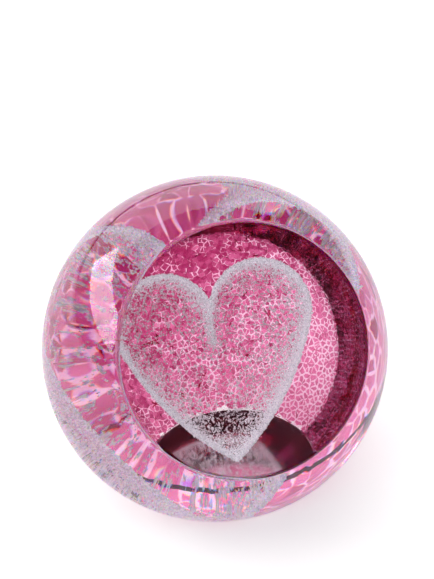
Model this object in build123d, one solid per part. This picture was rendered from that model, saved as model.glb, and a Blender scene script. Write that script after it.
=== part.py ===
from build123d import *
from math import acos, cos, radians, sin, sqrt, tan
import os

# A clear glass paperweight ball. It rests on a flat ground base and looks out through one
# large flat facet. A coat of pink frit covers its back, and a puffed heart of pale glass
# grains hangs in the clear glass between the facet and the coat, open towards the facet.
# Origin at the centre of the base, +Z up, facet facing -Y and upwards. Millimetres.

# The ball
ball_radius = 37.5
base_below_centre = 32.55      # from the centre of the ball down to the ground base
facet_from_centre = 26.9       # from the centre of the ball out to the facet
facet_elevation = 37.2         # angle of the facet's normal above level, degrees
edge_arris = 0.5               # the small flat taken off the two ground edges

# The pink coat
coat_thickness = 0.9
coat_setback = 1.2             # its front edge, behind the centre along the facet's axis

# The heart, drawn on a plane behind the ball's centre and puffed out towards the back
heart_setback = 9.5            # its open side, behind the centre along the facet's axis
heart_turn = 10.8              # how far its open side is turned from the facet to the left, degrees
heart_rear = 31.1              # its rearmost point, behind the centre along the facet's axis
tip_depth = 3.4                # from its open side back to its dome, at the tip
lobe_radius = 11.0
lobe_offset = 10.6             # each lobe's centre, to the side of the middle
lobe_height = 6.6              # each lobe's centre, above the facet's axis
tip_drop = 24.8                # the tip, below the facet's axis
flank_radius = 62.0            # the long gentle curve from a lobe down to the tip
grain_thickness = 0.45

centre = Vector(0, 0, base_below_centre)
facet_normal = Vector(0, -cos(radians(facet_elevation)), sin(radians(facet_elevation)))
sideways = Vector(1, 0, 0)
dome_rise = heart_rear - heart_setback - tip_depth
puff_radius = (tip_drop**2 + dome_rise**2) / (2 * dome_rise)  # curve of the heart's back
beyond_ball = 2 * ball_radius  # long enough for a cut to leave the ball


def round_ball(radius, middle):
    """A whole ball with its poles at its two sides and its seam in front, clear of the coat."""
    return Plane(origin=middle, x_dir=facet_normal, z_dir=sideways) * Sphere(radius)


def facet_plane(distance):
    """A plane parallel to the facet, at a distance from the ball's centre along its axis."""
    return Plane(origin=centre + facet_normal * distance, x_dir=sideways, z_dir=facet_normal)


def behind_ground_face(plane, distance):
    """All that is behind a ground face, with the small flat left around the face's edge.

    The plane lies in the face and looks outwards, at a distance from the ball's centre.
    """
    face_radius = sqrt(ball_radius**2 - distance**2) - edge_arris
    slope = tan(acos(distance / ball_radius) / 2)
    depth = distance + beyond_ball
    cone = Cone(
        bottom_radius=face_radius + depth / slope,
        top_radius=face_radius,
        height=depth,
        align=(Align.CENTER, Align.CENTER, Align.MAX),
    )
    return plane * cone


def ground_ball():
    """The whole ball, with its base and its facet ground flat."""
    base_plane = Plane(origin=(0, 0, 0), x_dir=sideways, z_dir=(0, 0, -1))
    ball = round_ball(ball_radius, centre)
    ball &= behind_ground_face(base_plane, base_below_centre)
    ball &= behind_ground_face(facet_plane(facet_from_centre), facet_from_centre)
    return ball


def in_front_of_coat():
    """A block that holds all the glass in front of the coat's edge."""
    width = 2 * beyond_ball
    block = Box(width, width, beyond_ball, align=(Align.CENTER, Align.CENTER, Align.MIN))
    return facet_plane(-coat_setback) * block


def flank_centre():
    """The centre of the right flank's curve, which passes the tip and meets the lobe smoothly."""
    lobe_above_tip = lobe_height + tip_drop
    tip_to_lobe = sqrt(lobe_offset**2 + lobe_above_tip**2)
    inner_radius = flank_radius - lobe_radius
    along = (flank_radius**2 - inner_radius**2 + tip_to_lobe**2) / (2 * tip_to_lobe)
    aside = sqrt(flank_radius**2 - along**2)
    x = (along * lobe_offset - aside * lobe_above_tip) / tip_to_lobe
    y = (along * lobe_above_tip + aside * lobe_offset) / tip_to_lobe - tip_drop
    return Vector(x, y)


def heart_face(inset):
    """The heart as a flat face, with its outline moved inwards by inset."""
    lobe = Vector(lobe_offset, lobe_height)
    flank = flank_centre()
    curve = flank_radius - inset
    meet = flank + (lobe - flank).normalized() * curve
    tip = Vector(0, flank.Y - sqrt(curve**2 - flank.X**2))
    half_way = flank + ((meet + tip) / 2 - flank).normalized() * curve
    middle = Vector(0, lobe_height)
    right = make_face(
        [
            ThreePointArc(meet, half_way, tip),
            Line(tip, middle),
            Line(middle, lobe),
            Line(lobe, meet),
        ]
    )
    right += Pos(lobe) * Circle(lobe_radius - inset)
    return right + mirror(right, Plane.YZ)


def heart_plane():
    """The plane of the heart's open side."""
    turn = radians(heart_turn)
    return Plane(
        origin=centre - facet_normal * heart_setback,
        x_dir=sideways * cos(turn) + facet_normal * sin(turn),
        z_dir=facet_normal * cos(turn) - sideways * sin(turn),
    )


def heart_prism(inset):
    """The heart's outline run straight back from its open side, out through the ball."""
    return extrude(heart_plane() * heart_face(inset), amount=beyond_ball, dir=-facet_normal)


def puffed_heart(inset):
    """The heart as a solid, flat on its open side and domed at the back."""
    dome_centre = centre + facet_normal * (puff_radius - heart_rear)
    return heart_prism(inset) & round_ball(puff_radius - inset, dome_centre)


ball = ground_ball()
heart_outside = puffed_heart(0)
heart_inside = puffed_heart(grain_thickness)
grains = heart_outside - heart_inside
grains_inside_rim = heart_prism(grain_thickness)
under_coat = round_ball(ball_radius - coat_thickness, centre)
coat = ball - in_front_of_coat() - under_coat

pieces = {
    "clear_casing": ball - coat - heart_outside,
    "pink_frit_coat": coat,
    "clear_heart_core": heart_inside,
    "heart_rim_grains": grains - grains_inside_rim,
    "heart_back_grains": grains & grains_inside_rim,
}

os.makedirs("parts", exist_ok=True)
for node, piece in pieces.items():
    export_step(piece, f"parts/{node}.step")
    print(node, round(piece.volume, 1), "mm3,", len(piece.solids()), "solid")
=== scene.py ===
import bmesh
import bpy
import math
import numpy as np
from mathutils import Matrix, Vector, noise


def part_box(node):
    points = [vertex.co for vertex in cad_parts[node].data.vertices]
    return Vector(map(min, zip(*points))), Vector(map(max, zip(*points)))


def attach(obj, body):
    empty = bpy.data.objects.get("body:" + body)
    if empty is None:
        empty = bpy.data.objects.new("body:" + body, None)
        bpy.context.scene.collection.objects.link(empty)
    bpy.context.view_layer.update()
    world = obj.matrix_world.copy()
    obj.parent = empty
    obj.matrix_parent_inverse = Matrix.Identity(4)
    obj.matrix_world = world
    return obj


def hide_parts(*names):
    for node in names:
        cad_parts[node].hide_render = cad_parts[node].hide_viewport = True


# a solid glass ball with a ground base and facet, a pink frit coat and a heart of pale grains inside
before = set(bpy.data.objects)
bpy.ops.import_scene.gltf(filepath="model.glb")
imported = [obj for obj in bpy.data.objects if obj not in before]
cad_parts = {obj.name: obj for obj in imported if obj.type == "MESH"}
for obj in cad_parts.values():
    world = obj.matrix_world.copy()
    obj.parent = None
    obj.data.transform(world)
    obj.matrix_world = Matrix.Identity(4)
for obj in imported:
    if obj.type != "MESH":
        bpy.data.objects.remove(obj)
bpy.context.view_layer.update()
print("frame loaded:", ", ".join(sorted(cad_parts)))

# where the ball and its facet are, read from the frame
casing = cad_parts["clear_casing"].data
casingLow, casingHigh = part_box("clear_casing")
ballRadius = (casingHigh.x - casingLow.x) / 2
ballCentre = Vector((0, 0, casingHigh.z - ballRadius))
facetSide = Vector((1, 0, 0))
facetFace = max((p for p in casing.polygons if p.normal.z > 0.2), key=lambda p: p.area)
facetAxis = facetFace.normal.normalized()
facetUp = facetAxis.cross(facetSide)


def alongFacet(node, pick):
    # how far a node reaches from the ball's centre, measured along the facet's axis
    return pick((v.co - ballCentre).dot(facetAxis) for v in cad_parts[node].data.vertices)


facetOut = alongFacet("clear_casing", max)
coatFront = alongFacet("pink_frit_coat", max)
heartRear = alongFacet("heart_back_grains", min)
print("facet axis:", [round(a, 4) for a in facetAxis], "facet", round(facetOut, 5))


def fromFacet(side, up, out):
    # a place given across the facet, up it and out along its axis, from the ball's centre
    return ballCentre + facetSide * side + facetUp * up + facetAxis * out


def newPiece(name, verts, faces, smooth=True):
    mesh = bpy.data.meshes.new(name)
    mesh.from_pydata(verts, [], faces)
    mesh.validate()
    mesh.polygons.foreach_set("use_smooth", [smooth] * len(mesh.polygons))
    obj = bpy.data.objects.new(name, mesh)
    bpy.context.scene.collection.objects.link(obj)
    return obj


def newMaterial(name):
    mat = bpy.data.materials.new(name)
    mat.use_nodes = True
    nodes = mat.node_tree.nodes
    nodes.clear()
    return mat, nodes, mat.node_tree.links, nodes.new("ShaderNodeOutputMaterial")


def placeTexture(nodes, links, kind, scale):
    # a texture fixed to the ball, at a scale in repeats per metre
    coords = nodes.new("ShaderNodeTexCoord")
    texture = nodes.new(kind)
    texture.inputs["Scale"].default_value = scale
    links.new(coords.outputs["Object"], texture.inputs["Vector"])
    return texture


# the clear ball
ballSet = {
    "turns": 300, "rings": 150, "facetRings": 10,
    "roll": 0.0014, "rollSteps": 8,   # radius of the polished edge round the facet
    "tight": 0.00002,         # a last flat ring this far in keeps the facet's shading flat
    "arris": 0.00035,         # the base's edge
    "gap": 0.00003,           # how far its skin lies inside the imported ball
    "baseLift": 0.00001,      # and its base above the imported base
    "sharp": 15,              # degrees from which an edge is shaded sharp
    "bends": 1.52,            # how much the glass bends light
    "spread": 0.0018,         # how much more it bends blue, and less it bends red
    "paintedRingShade": (0.87, 0.81, 0.88),   # painted shade: the sides' glass is tinted a little dark, standing in for the dim room seen through them
    "crackle": 620,           # cells per metre in the skin over the coat
    "groove": 0.000003, "grooveWide": 0.22,   # how deep it sinks between them, and how widely
    "baseBlur": 0.10,         # the base is ground, not polished
}


def ballProfile():
    # rings as (distance from the facet's axis, height along it), from the facet's middle to the far pole
    radius = ballRadius - ballSet["gap"]
    roll = ballSet["roll"]
    flatEdge = math.sqrt((radius - roll) ** 2 - (facetOut - roll) ** 2)
    turnOver = math.acos((facetOut - roll) / (radius - roll))
    flatRings = ballSet["facetRings"]
    rings = [(flatEdge * (k + 1) / flatRings, facetOut) for k in range(flatRings - 1)]
    rings.append((flatEdge - ballSet["tight"], facetOut))
    for k in range(ballSet["rollSteps"] + 1):
        a = turnOver * k / ballSet["rollSteps"]
        rings.append((flatEdge + roll * math.sin(a), facetOut - roll + roll * math.cos(a)))
    for k in range(1, ballSet["rings"]):
        a = turnOver + (math.pi - turnOver) * k / ballSet["rings"]
        rings.append((radius * math.sin(a), radius * math.cos(a)))
    return rings, radius


def makeBall():
    rings, radius = ballProfile()
    turns = ballSet["turns"]
    verts = [fromFacet(0, 0, facetOut)]
    for r, out in rings:
        for t in range(turns):
            a = 2 * math.pi * t / turns
            verts.append(fromFacet(r * math.cos(a), r * math.sin(a), out))
    verts.append(fromFacet(0, 0, -radius))
    last = len(verts) - 1
    faces = []
    for t in range(turns):
        n = (t + 1) % turns
        faces.append((0, 1 + t, 1 + n))
        for k in range(len(rings) - 1):
            a = 1 + k * turns
            b = a + turns
            faces.append((a + t, b + t, b + n, a + n))
        a = 1 + (len(rings) - 1) * turns
        faces.append((a + t, last, a + n))
    ball = newPiece("clear_ball", verts, faces)
    bm = bmesh.new()
    bm.from_mesh(ball.data)
    # grind the base flat and take its edge off
    cut = bmesh.ops.bisect_plane(
        bm, geom=bm.verts[:] + bm.edges[:] + bm.faces[:],
        plane_co=(0, 0, casingLow.z + ballSet["baseLift"]), plane_no=(0, 0, -1), clear_outer=True)
    rim = [e for e in cut["geom_cut"] if isinstance(e, bmesh.types.BMEdge)]
    bmesh.ops.edgeloop_fill(bm, edges=rim)
    bmesh.ops.bevel(bm, geom=rim, offset=ballSet["arris"], segments=3, profile=0.5, affect="EDGES")
    bm.normal_update()
    for f in bm.faces:
        middle = f.calc_center_median()
        back = (middle - ballCentre).dot(facetAxis) < coatFront
        onFacet = f.normal.dot(facetAxis) > 0.9999
        onBase = f.normal.z < -0.999
        f.material_index = 3 if onBase else 2 if back else 1 if onFacet else 0
        f.smooth = not onBase
    for e in bm.edges:
        if len(e.link_faces) == 2:
            e.smooth = e.calc_face_angle(0) < math.radians(ballSet["sharp"])
    bm.to_mesh(ball.data)
    bm.free()
    return ball


def clearGlass(name, rough=0.0, groove=0.0):
    mat, nodes, links, out = newMaterial(name)
    glass = nodes.new("ShaderNodeBsdfGlass")
    glass.inputs["Color"].default_value = (1, 1, 1, 1)
    glass.inputs["Roughness"].default_value = rough
    glass.inputs["IOR"].default_value = ballSet["bends"]
    links.new(glass.outputs[0], out.inputs["Surface"])
    if groove:
        # the skin over the frit sinks a little between the crumbs
        cells = placeTexture(nodes, links, "ShaderNodeTexVoronoi", ballSet["crackle"])
        cells.feature = "DISTANCE_TO_EDGE"
        shape = nodes.new("ShaderNodeMapRange")
        shape.interpolation_type = "SMOOTHSTEP"
        shape.inputs["From Max"].default_value = ballSet["grooveWide"]
        links.new(cells.outputs["Distance"], shape.inputs["Value"])
        bump = nodes.new("ShaderNodeBump")
        bump.inputs["Distance"].default_value = groove
        links.new(shape.outputs["Result"], bump.inputs["Height"])
        links.new(bump.outputs[0], glass.inputs["Normal"])
    return mat


def ringGlass(name):
    # three clear glasses in equal parts, one for each colour at three times its strength, dimmed by the
    # painted shade, so that edges split into colours
    mat, nodes, links, out = newMaterial(name)
    glasses = []
    for k in range(3):
        glass = nodes.new("ShaderNodeBsdfGlass")
        share = [3 * ballSet["paintedRingShade"][k] if k == c else 0 for c in range(3)]
        glass.inputs["Color"].default_value = (*share, 1)
        glass.inputs["Roughness"].default_value = 0
        glass.inputs["IOR"].default_value = ballSet["bends"] + ballSet["spread"] * (k - 1)
        glasses.append(glass)
    pair = nodes.new("ShaderNodeMixShader")
    pair.inputs[0].default_value = 1 / 2
    links.new(glasses[0].outputs[0], pair.inputs[1])
    links.new(glasses[1].outputs[0], pair.inputs[2])
    every = nodes.new("ShaderNodeMixShader")
    every.inputs[0].default_value = 1 / 3
    links.new(pair.outputs[0], every.inputs[1])
    links.new(glasses[2].outputs[0], every.inputs[2])
    links.new(every.outputs[0], out.inputs["Surface"])
    return mat


ball = makeBall()
# the ball's sides carry the painted shade tint; the facet, the skin over the frit and the base do not
ball.data.materials.append(ringGlass("clear glass"))
ball.data.materials.append(clearGlass("facet glass"))
ball.data.materials.append(clearGlass("glass over frit", groove=ballSet["groove"]))
ball.data.materials.append(clearGlass("ground base", rough=ballSet["baseBlur"]))
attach(ball, "root")
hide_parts("clear_casing", "clear_heart_core")
print("ball:", len(ball.data.polygons), "faces")

# the pink frit: glass crumbs fused side by side, with pale veins where they meet
fritSet = {
    "pitch": 0.00125,         # from one crumb to the next
    "jitter": 0.30, "dome": 0.00012, "depth": 0.0003, "seed": 11,
    "vein": 0.00017,          # a vein's width to one side: about half of this if shut, twice if open
    "open": 0.55, "openPatch": 0.7, "openEach": 0.20,   # how open veins are, by patch and one by one
    "tint": 0.45, "tintEach": 0.25,   # how pale the crumbs are, and how much they differ
    "thin": 0.60, "thinAndBacklitSide": 0.6, "thinAndBacklitUp": -0.8,   # the coat runs paler, its veins more open, towards its lower right: partly a thinner coat, partly painted backlight
    "baseGap": 0.00006,       # how far it stays above the base
    "edgeWander": 0.0014, "edgeFine": 7,   # how far the coat's front edge strays, and how finely
    "patchFine": 13,          # how finely the patches of open veins lie
    "mottle": 700, "mottleDeep": 1.1, "mottleDrop": 0.55,   # unevenness in the crumbs
    "fray": 2600, "frayDeep": 0.6, "frayFrom": 0.45, "frayTo": 0.85,   # and along the veins
    "deepPink": (0.42, 0.035, 0.15), "palePink": (0.80, 0.22, 0.43), "veinPink": (0.96, 0.68, 0.82),
    "cloud": 0.035,
}
underSet = {
    "pitch": 0.00210, "depth": 0.0008, "seed": 29,
    "deepPink": (0.84, 0.52, 0.66), "palePink": (0.98, 0.86, 0.93), "veinPink": (0.98, 0.92, 0.96),
    "cloud": 0.025,
}


def crumbCentres(pitch, rng):
    # crumbs spread evenly over the whole ball, then knocked about
    count = int(4 * math.pi * ballRadius**2 / (pitch**2 * 0.866))
    k = np.arange(count) + 0.5
    tilt = np.arccos(1 - 2 * k / count)
    turn = math.pi * (1 + 5**0.5) * k
    pts = np.stack([np.sin(tilt) * np.cos(turn), np.sin(tilt) * np.sin(turn), np.cos(tilt)], 1)
    pts += rng.normal(0, fritSet["jitter"] * pitch / ballRadius, pts.shape)
    return pts / np.linalg.norm(pts, axis=1)[:, None]


def clamp(x):
    return min(1.0, max(0.0, x))


def makeFrit(name, layer):
    pitch = layer["pitch"]
    rng = np.random.default_rng(layer["seed"])
    radius = ballRadius - layer["depth"]
    bm = bmesh.new()
    for p in crumbCentres(pitch, rng):
        bm.verts.new(p)
    bmesh.ops.convex_hull(bm, input=bm.verts[:], use_existing_faces=False)
    bm.normal_update()
    bm.faces.ensure_lookup_table()
    bm.faces.index_update()
    # each hull face is a corner where three crumbs meet; its vein is open, thin or closed there
    corner = [f.normal.copy() for f in bm.faces]
    drift = Vector((layer["seed"], 0, 0))
    # partly painted light: paler crumbs and more open veins towards the lower right stand in for the
    # brighter backlight there, along with the coat thinning
    thinAndBacklitWay = (facetSide * fritSet["thinAndBacklitSide"] + facetUp * fritSet["thinAndBacklitUp"]) * fritSet["thin"]
    openness = []
    for c in corner:
        patch = fritSet["openPatch"] * noise.noise(c * fritSet["patchFine"] + drift)
        wide = fritSet["open"] + patch + c.dot(thinAndBacklitWay) + rng.normal(0, fritSet["openEach"])
        openness.append(clamp(wide))
    verts, faces, vein, tint = [], [], [], []
    lowest = casingLow.z + fritSet["baseGap"]

    def add(direction, sink, v, t):
        place = ballCentre + direction.normalized() * (radius - sink)
        place.z = max(place.z, lowest)    # ground away with the base
        verts.append(place)
        vein.append(v)
        tint.append(clamp(t))
        return len(verts) - 1

    for crumb in bm.verts:
        place = crumb.co * radius
        out = place.dot(facetAxis) + fritSet["edgeWander"] * noise.noise(crumb.co * fritSet["edgeFine"])
        height = ballCentre.z + place.z - casingLow.z
        if not crumb.link_loops or out > coatFront - pitch / 2 or height < 0.3 * pitch:
            continue
        loop = crumb.link_loops[0]
        around = []
        for _ in range(len(crumb.link_faces)):
            around.append(loop.face.index)
            loop = loop.link_loop_prev.link_loop_radial_next
        middle = crumb.co.copy()
        # the crumb's pink, made paler towards the lower right by the painted backlight
        shade = clamp(rng.normal(fritSet["tint"], fritSet["tintEach"]) + 1.5 * middle.dot(thinAndBacklitWay))
        rim, shoulder = [], []
        n = len(around)
        for i in range(n):
            a, c = corner[around[i]], corner[around[(i + 1) % n]]
            va, vc = openness[around[i]], openness[around[(i + 1) % n]]
            for s in (0, 0.5):
                p = a.lerp(c, s)
                v = va + (vc - va) * s
                reach = p - middle
                width = fritSet["vein"] * (0.5 + 1.5 * v) * rng.uniform(0.7, 1.4) / radius
                rim.append(add(p, fritSet["dome"], v, shade))
                inner = max(0.3, 1 - width / max(reach.length, 1e-6) - 0.04 * s)
                sunk = fritSet["dome"] * 0.5
                shoulder.append(add(middle + reach * inner, sunk, 0, shade + rng.uniform(-0.1, 0.1)))
        top = add(middle, 0, 0, shade + 0.1)
        m = len(rim)
        for i in range(m):
            j = (i + 1) % m
            faces.append((rim[i], rim[j], shoulder[j], shoulder[i]))
            faces.append((shoulder[i], shoulder[j], top))
    bm.free()
    coat = newPiece(name, verts, faces)
    for label, values in (("vein", vein), ("tint", tint)):
        coat.data.attributes.new(label, "FLOAT", "POINT").data.foreach_set("value", values)
    return coat


def pinkGlass(name, finish):
    mat, nodes, links, out = newMaterial(name)
    tint = nodes.new("ShaderNodeAttribute")
    tint.attribute_name = "tint"
    vein = nodes.new("ShaderNodeAttribute")
    vein.attribute_name = "vein"
    # each crumb has its own pink, unevenly thick
    cloudy = placeTexture(nodes, links, "ShaderNodeTexNoise", fritSet["mottle"])
    cloudy.inputs["Detail"].default_value = 4
    uneven = nodes.new("ShaderNodeMath")
    uneven.operation = "MULTIPLY_ADD"
    uneven.inputs[1].default_value = fritSet["mottleDeep"]
    links.new(cloudy.outputs["Fac"], uneven.inputs[0])
    links.new(tint.outputs["Fac"], uneven.inputs[2])
    shift = nodes.new("ShaderNodeMath")
    shift.operation = "SUBTRACT"
    shift.inputs[1].default_value = fritSet["mottleDrop"]
    links.new(uneven.outputs[0], shift.inputs[0])
    pinks = nodes.new("ShaderNodeMix")
    pinks.data_type = "RGBA"
    pinks.inputs["A"].default_value = (*finish["deepPink"], 1)
    pinks.inputs["B"].default_value = (*finish["palePink"], 1)
    links.new(shift.outputs[0], pinks.inputs["Factor"])
    # the veins fray: fine noise eats into their edges
    fray = placeTexture(nodes, links, "ShaderNodeTexNoise", fritSet["fray"])
    fray.inputs["Detail"].default_value = 2
    edge = nodes.new("ShaderNodeMath")
    edge.operation = "MULTIPLY_ADD"
    edge.inputs[1].default_value = fritSet["frayDeep"]
    links.new(fray.outputs["Fac"], edge.inputs[0])
    links.new(vein.outputs["Fac"], edge.inputs[2])
    clearing = nodes.new("ShaderNodeMapRange")
    clearing.interpolation_type = "SMOOTHSTEP"
    clearing.inputs["From Min"].default_value = fritSet["frayFrom"]
    clearing.inputs["From Max"].default_value = fritSet["frayTo"]
    links.new(edge.outputs[0], clearing.inputs["Value"])
    opened = nodes.new("ShaderNodeMix")
    opened.data_type = "RGBA"
    opened.inputs["B"].default_value = (*finish["veinPink"], 1)
    links.new(clearing.outputs["Result"], opened.inputs["Factor"])
    links.new(pinks.outputs["Result"], opened.inputs["A"])
    clear = nodes.new("ShaderNodeBsdfTransparent")
    body = nodes.new("ShaderNodeBsdfTranslucent")
    mix = nodes.new("ShaderNodeMixShader")
    mix.inputs[0].default_value = finish["cloud"]
    links.new(opened.outputs["Result"], clear.inputs[0])
    links.new(opened.outputs["Result"], body.inputs[0])
    links.new(clear.outputs[0], mix.inputs[1])
    links.new(body.outputs[0], mix.inputs[2])
    links.new(mix.outputs[0], out.inputs["Surface"])
    return mat


frit = makeFrit("pink_frit", fritSet)
frit.data.materials.append(pinkGlass("pink frit", fritSet))
under = makeFrit("pink_frit_under", underSet)
under.data.materials.append(pinkGlass("pink frit under", underSet))
for piece in (frit, under):
    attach(piece, "root")
    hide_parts("pink_frit_coat")
    print(piece.name, len(piece.data.polygons), "faces")

# the heart: a deep bowl of pale grains, open towards the facet
heartSet = {
    "lobe": 0.0110, "lobeOut": 0.0106, "lobeUp": 0.0066, "tip": 0.0248, "flank": 0.062,
    "setback": 0.0095,        # its open side, behind the ball's centre
    "turn": 10.8,             # degrees its open side is turned to the left of the facet
    "tipDeep": 0.0034,        # from its open side to its back, at the tip
    "round": 0.0075, "roundPower": 1.3,   # how far in its sides curve over, and how fully
    "turns": 540, "rows": 100, "middle": -0.001, "bunch": 2.2,   # rows bunch up towards the outline
    # the fold down from the notch: its length, its lean to the side and how fast it fades out
    "crease": 0.0086, "creaseLean": 0.0012, "creaseFall": 0.35, "creaseSteps": 60,
    "seed": 5,
}
grainSet = {"gloss": 0.28, "speck": 3200, "dark": 0.66, "darkTo": 0.40, "paleFrom": 0.56, "uneven": 0.35}
rimSet = {
    "grains": 27000, "size": 0.00018, "colour": (0.95, 0.93, 0.99),
    "glow": 0.20,             # painted light: the grains glow in their own colour, standing in for light the clear grains pass on from each other
    "fade": 0.0009,           # how fast the rim thins out, in from the outline
    "knock": 0.00013,         # how far grains sit off the surface
    "frontDense": 1.6, "frontDeep": 0.0016,     # they lie denser near the open side
    "creaseDense": 0.5, "creaseWide": 0.0007,   # and along the fold
}
backSet = {
    # the back grains' glow is painted light too
    "grains": 22000, "size": 0.00013, "colour": (0.96, 0.91, 0.97), "glow": 0.14,
    "patch": 1300, "thin": -0.14, "fewest": 0.02, "most": 0.6,   # they lie in patches
}


def heartOutline(steps):
    # two lobes, two long flanks and a tip, as points going round from the notch
    s = heartSet
    up = s["lobeUp"] + s["tip"]
    gap = math.hypot(s["lobeOut"], up)
    inner = s["flank"] - s["lobe"]
    along = (s["flank"] ** 2 - inner**2 + gap**2) / (2 * gap)
    aside = math.sqrt(s["flank"] ** 2 - along**2)
    flankX = (along * s["lobeOut"] - aside * up) / gap
    flankY = (along * up + aside * s["lobeOut"]) / gap - s["tip"]
    meet = math.atan2(s["lobeUp"] - flankY, s["lobeOut"] - flankX)
    notch = math.pi - math.asin(math.sqrt(s["lobe"] ** 2 - s["lobeOut"] ** 2) / s["lobe"])
    tip = math.atan2(-s["tip"] - flankY, -flankX)
    lobeLong = s["lobe"] * (notch - meet)
    flankLong = s["flank"] * (meet - tip)
    right = []
    for d in np.linspace(0, lobeLong + flankLong, steps // 2, endpoint=False):
        if d < lobeLong:
            a = notch - d / s["lobe"]
            right.append((s["lobeOut"] + s["lobe"] * math.cos(a), s["lobeUp"] + s["lobe"] * math.sin(a)))
        else:
            a = meet - (d - lobeLong) / s["flank"]
            right.append((flankX + s["flank"] * math.cos(a), flankY + s["flank"] * math.sin(a)))
    left = [(-x, y) for x, y in reversed(right[1:])]
    return np.array(right + [(0, -s["tip"])] + left)


def nearest(points, line):
    # how far each point is from the nearest point of a line, and which one that is
    gaps = np.linalg.norm(points[:, None, :] - line[None], axis=2)
    return gaps.min(1), gaps.argmin(1)


def makeHeart():
    # a grid of (side, up, out, in from the outline, off the crease, below the open side),
    # its rows growing from the middle
    s = heartSet
    outline = heartOutline(s["turns"])
    lean = math.radians(s["turn"])
    rise = -heartRear - s["setback"] - s["tipDeep"]
    dome = (s["tip"] ** 2 + rise**2) / (2 * rise)    # curve of its back
    middle = np.array((0, s["middle"]))
    share = np.linspace(0, 1, s["creaseSteps"])
    crease = outline[0] + np.stack([s["creaseLean"] * share**2, -s["crease"] * share], 1)
    grid = np.zeros((s["rows"] + 1, len(outline), 6))
    for k in range(s["rows"] + 1):
        grow = 1 - (1 - k / s["rows"]) ** s["bunch"]
        p = middle + (outline - middle) * grow
        inside = nearest(p, outline)[0] if k < s["rows"] else np.zeros(len(outline))
        off, step = nearest(p, crease)
        folded = np.minimum(inside, off + s["creaseFall"] * s["crease"] * share[step])
        back = heartRear + dome - np.sqrt(dome**2 - (p**2).sum(1))
        part = np.minimum(1, folded / s["round"])
        deep = (1 - (1 - part) ** s["roundPower"]) ** (1 / s["roundPower"])
        front = p[:, 0] * math.sin(lean) - s["setback"]
        sunk = (front - back) * deep
        grid[k] = np.column_stack([p[:, 0] * math.cos(lean), p[:, 1], front - sunk, inside, off, sunk])
    return grid


def scatter(grid, count, weigh, rng):
    # places spread over the heart's surface, by area and by how thickly weigh says they lie
    a, b = grid[:-1], grid[1:]
    a2, b2 = np.roll(a, -1, axis=1), np.roll(b, -1, axis=1)
    lower = np.stack([a, b, b2], 2).reshape(-1, 3, 6)
    upper = np.stack([a, b2, a2], 2).reshape(-1, 3, 6)
    tris = np.concatenate([lower, upper])
    sideOne = tris[:, 1, :3] - tris[:, 0, :3]
    sideTwo = tris[:, 2, :3] - tris[:, 0, :3]
    area = np.linalg.norm(np.cross(sideOne, sideTwo), axis=1)
    chance = area * weigh(tris.mean(1))
    t = tris[rng.choice(len(tris), size=count, p=chance / chance.sum())]
    u, v = rng.random(count), rng.random(count)
    flip = u + v > 1
    u[flip], v[flip] = 1 - u[flip], 1 - v[flip]
    return t[:, 0] + (t[:, 1] - t[:, 0]) * u[:, None] + (t[:, 2] - t[:, 0]) * v[:, None]


def rimWeight(p):
    front = np.exp(-p[:, 5] / rimSet["frontDeep"])
    fold = np.exp(-((p[:, 4] / rimSet["creaseWide"]) ** 2))
    rim = np.exp(-p[:, 3] / rimSet["fade"])
    return rim * (1 + rimSet["frontDense"] * front) + rimSet["creaseDense"] * fold


def backWeight(p):
    patch = [noise.noise(Vector(q[:3]) * backSet["patch"]) for q in p]
    return np.clip(np.array(patch) - backSet["thin"], backSet["fewest"], backSet["most"])


def grainMesh(name, places, rng, size):
    # each grain is a small uneven six-sided chip, turned at random
    corners = [(0, 0, 1.0), (0, 0, -1.0)]
    corners += [(math.cos(a), math.sin(a), 0) for a in (0, 2 * math.pi / 3, 4 * math.pi / 3)]
    sides = np.array([(0, 2, 3), (0, 3, 4), (0, 4, 2), (1, 3, 2), (1, 4, 3), (1, 2, 4)])
    n = len(places)
    turn, _ = np.linalg.qr(rng.normal(size=(n, 3, 3)))
    scale = size * rng.lognormal(0, grainSet["uneven"], n)[:, None, None] * rng.uniform(0.6, 1.3, (n, 5, 1))
    local = np.einsum("ij,njk->nik", np.array(corners), turn) * scale
    axes = np.array([facetSide, facetUp, facetAxis])
    world = (places[:, None, :3] + local) @ axes + np.array(ballCentre)
    faces = (sides[None] + 5 * np.arange(n)[:, None, None]).reshape(-1, 3)
    return newPiece(name, world.reshape(-1, 3).tolist(), faces.tolist(), smooth=False)


def paleGrain(name, finish):
    mat, nodes, links, out = newMaterial(name)
    colour = finish["colour"]
    body = nodes.new("ShaderNodeBsdfPrincipled")
    body.inputs["Roughness"].default_value = grainSet["gloss"]
    # painted light: the grains glow in their own speckled colour though they are no lamp
    body.inputs["Emission Strength"].default_value = finish["glow"]
    # some grains are clearer and darker than others
    speck = placeTexture(nodes, links, "ShaderNodeTexNoise", grainSet["speck"])
    shade = nodes.new("ShaderNodeValToRGB")
    shade.color_ramp.elements[0].position = grainSet["darkTo"]
    shade.color_ramp.elements[0].color = (*[c * grainSet["dark"] for c in colour], 1)
    shade.color_ramp.elements[1].position = grainSet["paleFrom"]
    shade.color_ramp.elements[1].color = (*colour, 1)
    links.new(speck.outputs["Fac"], shade.inputs["Fac"])
    links.new(shade.outputs["Color"], body.inputs["Base Color"])
    links.new(shade.outputs["Color"], body.inputs["Emission Color"])
    links.new(body.outputs[0], out.inputs["Surface"])
    return mat


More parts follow.
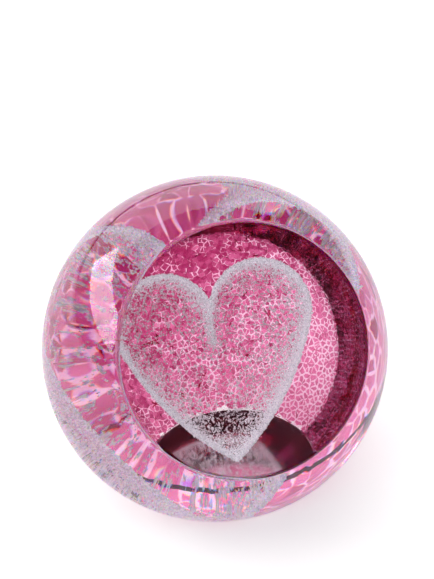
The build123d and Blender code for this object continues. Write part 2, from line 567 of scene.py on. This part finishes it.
heartGrid = makeHeart()
rng = np.random.default_rng(heartSet["seed"])
rimPlaces = scatter(heartGrid, rimSet["grains"], rimWeight, rng)
rimPlaces[:, :3] += rng.normal(0, rimSet["knock"], (len(rimPlaces), 3))
rim = grainMesh("heart_rim", rimPlaces, rng, rimSet["size"])
backPlaces = scatter(heartGrid, backSet["grains"], backWeight, rng)
back = grainMesh("heart_back", backPlaces, rng, backSet["size"])
rim.data.materials.append(paleGrain("rim grains", rimSet))
back.data.materials.append(paleGrain("back grains", backSet))
grainPieces = (
    (rim, "heart_rim_grains", "rim_grains"),
    (back, "heart_back_grains", "back_grains"),
)
for piece, node, slot in grainPieces:
    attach(piece, "root")
    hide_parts(node)
    print(piece.name, len(piece.data.polygons), "faces")

# the table the ball stands on
tableSet = {"half": 3.0, "drop": 0.0001, "white": 0.90, "glow": 0.50}    # lit from below as well


def makeTable():
    h, z = tableSet["half"], casingLow.z - tableSet["drop"]
    table = newPiece("table", [(-h, -h, z), (h, -h, z), (h, h, z), (-h, h, z)], [(0, 1, 2, 3)])
    mat, nodes, links, out = newMaterial("pale table")
    paint = nodes.new("ShaderNodeBsdfPrincipled")
    paint.inputs["Base Color"].default_value = (*[tableSet["white"]] * 3, 1)
    paint.inputs["Roughness"].default_value = 0.9
    paint.inputs["Specular IOR Level"].default_value = 0.0
    paint.inputs["Emission Color"].default_value = (1, 1, 1, 1)
    paint.inputs["Emission Strength"].default_value = tableSet["glow"]
    links.new(paint.outputs[0], out.inputs["Surface"])
    table.data.materials.append(mat)
    return table


makeTable()

# studio light: a dim room, a large sheet of light overhead, a low one behind, and a narrow one
# to the left and a little behind; turns and lifts are in degrees, and power is in watts
lightSet = {
    "room": 0.05,
    "overhead": {"turn": -60, "lift": 80, "away": 1.3, "wide": 1.8, "tall": 1.8, "power": 16},
    "behind": {"turn": 180, "lift": 20, "away": 1.2, "wide": 1.9, "tall": 0.8, "power": 7},
    "left": {"turn": -117, "lift": 21, "away": 0.9, "wide": 0.95, "tall": 0.26, "power": 5.4},
}


def fromCamera(turn, lift):
    # a direction given by its turn from the front and its lift above level, in degrees
    t, e = math.radians(turn), math.radians(lift)
    return Vector((math.cos(e) * math.sin(t), -math.cos(e) * math.cos(t), math.sin(e)))


def softbox(name):
    s = lightSet[name]
    light = bpy.data.lights.new(name, "AREA")
    light.shape = "RECTANGLE"
    light.size, light.size_y = s["wide"], s["tall"]
    light.energy = s["power"]
    lamp = bpy.data.objects.new(name, light)
    bpy.context.scene.collection.objects.link(lamp)
    lamp.location = ballCentre + fromCamera(s["turn"], s["lift"]) * s["away"]
    lamp.rotation_euler = (ballCentre - lamp.location).to_track_quat("-Z", "Y").to_euler()


world = bpy.data.worlds.new("studio")
bpy.context.scene.world = world
world.use_nodes = True
world.node_tree.nodes["Background"].inputs["Color"].default_value = (1, 1, 1, 1)
world.node_tree.nodes["Background"].inputs["Strength"].default_value = lightSet["room"]
for name in ("overhead", "behind", "left"):
    softbox(name)
print("lights: 3 softboxes")

# the camera looks down at the facet from a little to its left
cameraSet = {
    "turn": -16.3, "lift": 39.2, "away": 0.39, "lens": 111.7,
    "aimUp": 0.0127, "aimRight": 0.0005,
}


def makeCamera():
    s = cameraSet
    cam = bpy.data.cameras.new("camera")
    cam.sensor_fit = "VERTICAL"
    cam.sensor_height = 36
    cam.lens = s["lens"]
    camera = bpy.data.objects.new("camera", cam)
    bpy.context.scene.collection.objects.link(camera)
    towards = fromCamera(s["turn"], s["lift"])
    right = Vector((0, 0, 1)).cross(towards).normalized()
    upward = towards.cross(right)
    camera.location = ballCentre + towards * s["away"]
    aim = ballCentre + upward * s["aimUp"] + right * s["aimRight"]
    camera.rotation_euler = (aim - camera.location).to_track_quat("-Z", "Y").to_euler()
    bpy.context.scene.camera = camera


makeCamera()
scene = bpy.context.scene
scene.view_settings.view_transform = "Standard"
scene.cycles.max_bounces = 24
scene.cycles.transmission_bounces = 24
scene.cycles.transparent_max_bounces = 32
scene.cycles.glossy_bounces = 12
print("camera and light limits set")
